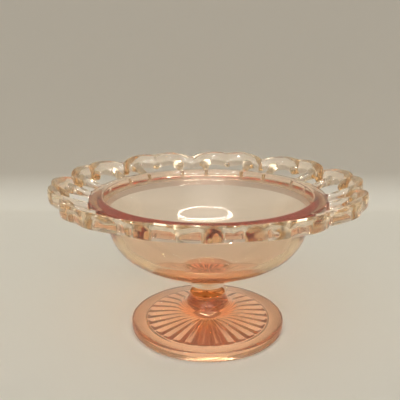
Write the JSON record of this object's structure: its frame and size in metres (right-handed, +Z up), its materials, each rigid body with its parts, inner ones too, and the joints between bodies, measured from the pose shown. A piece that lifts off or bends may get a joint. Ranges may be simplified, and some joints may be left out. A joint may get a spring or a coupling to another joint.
{
  "type": "candy dish",
  "caption": "Footed pressed-glass candy dish: round bowl with a wide openwork lace border, short stem and round foot with moulded rays.",
  "frame": {"origin": "on the table under the middle of the foot", "axes": "+Z up along the dish's axis, +X through a deep notch of the border, +Y through the middle of a scallop"},
  "size_m": [0.1748, 0.177, 0.0905],
  "materials": {
    "bowl_glass": "fire-polished pale peach-pink glass",
    "border_glass": "fire-polished pale peach-pink glass with soft moulded edges",
    "foot_glass": "fire-polished peach-pink glass, deeper where it is thick"
  },
  "bodies": {
    "root": {"bowl": "bowl_glass", "rim_band": "border_glass", "lace_struts": "border_glass", "lace_scallops": "border_glass", "lace_bridges": "border_glass", "stem_collar": "foot_glass", "stem": "foot_glass", "foot": "foot_glass", "foot_rays": "foot_glass"}
  },
  "joints": []
}
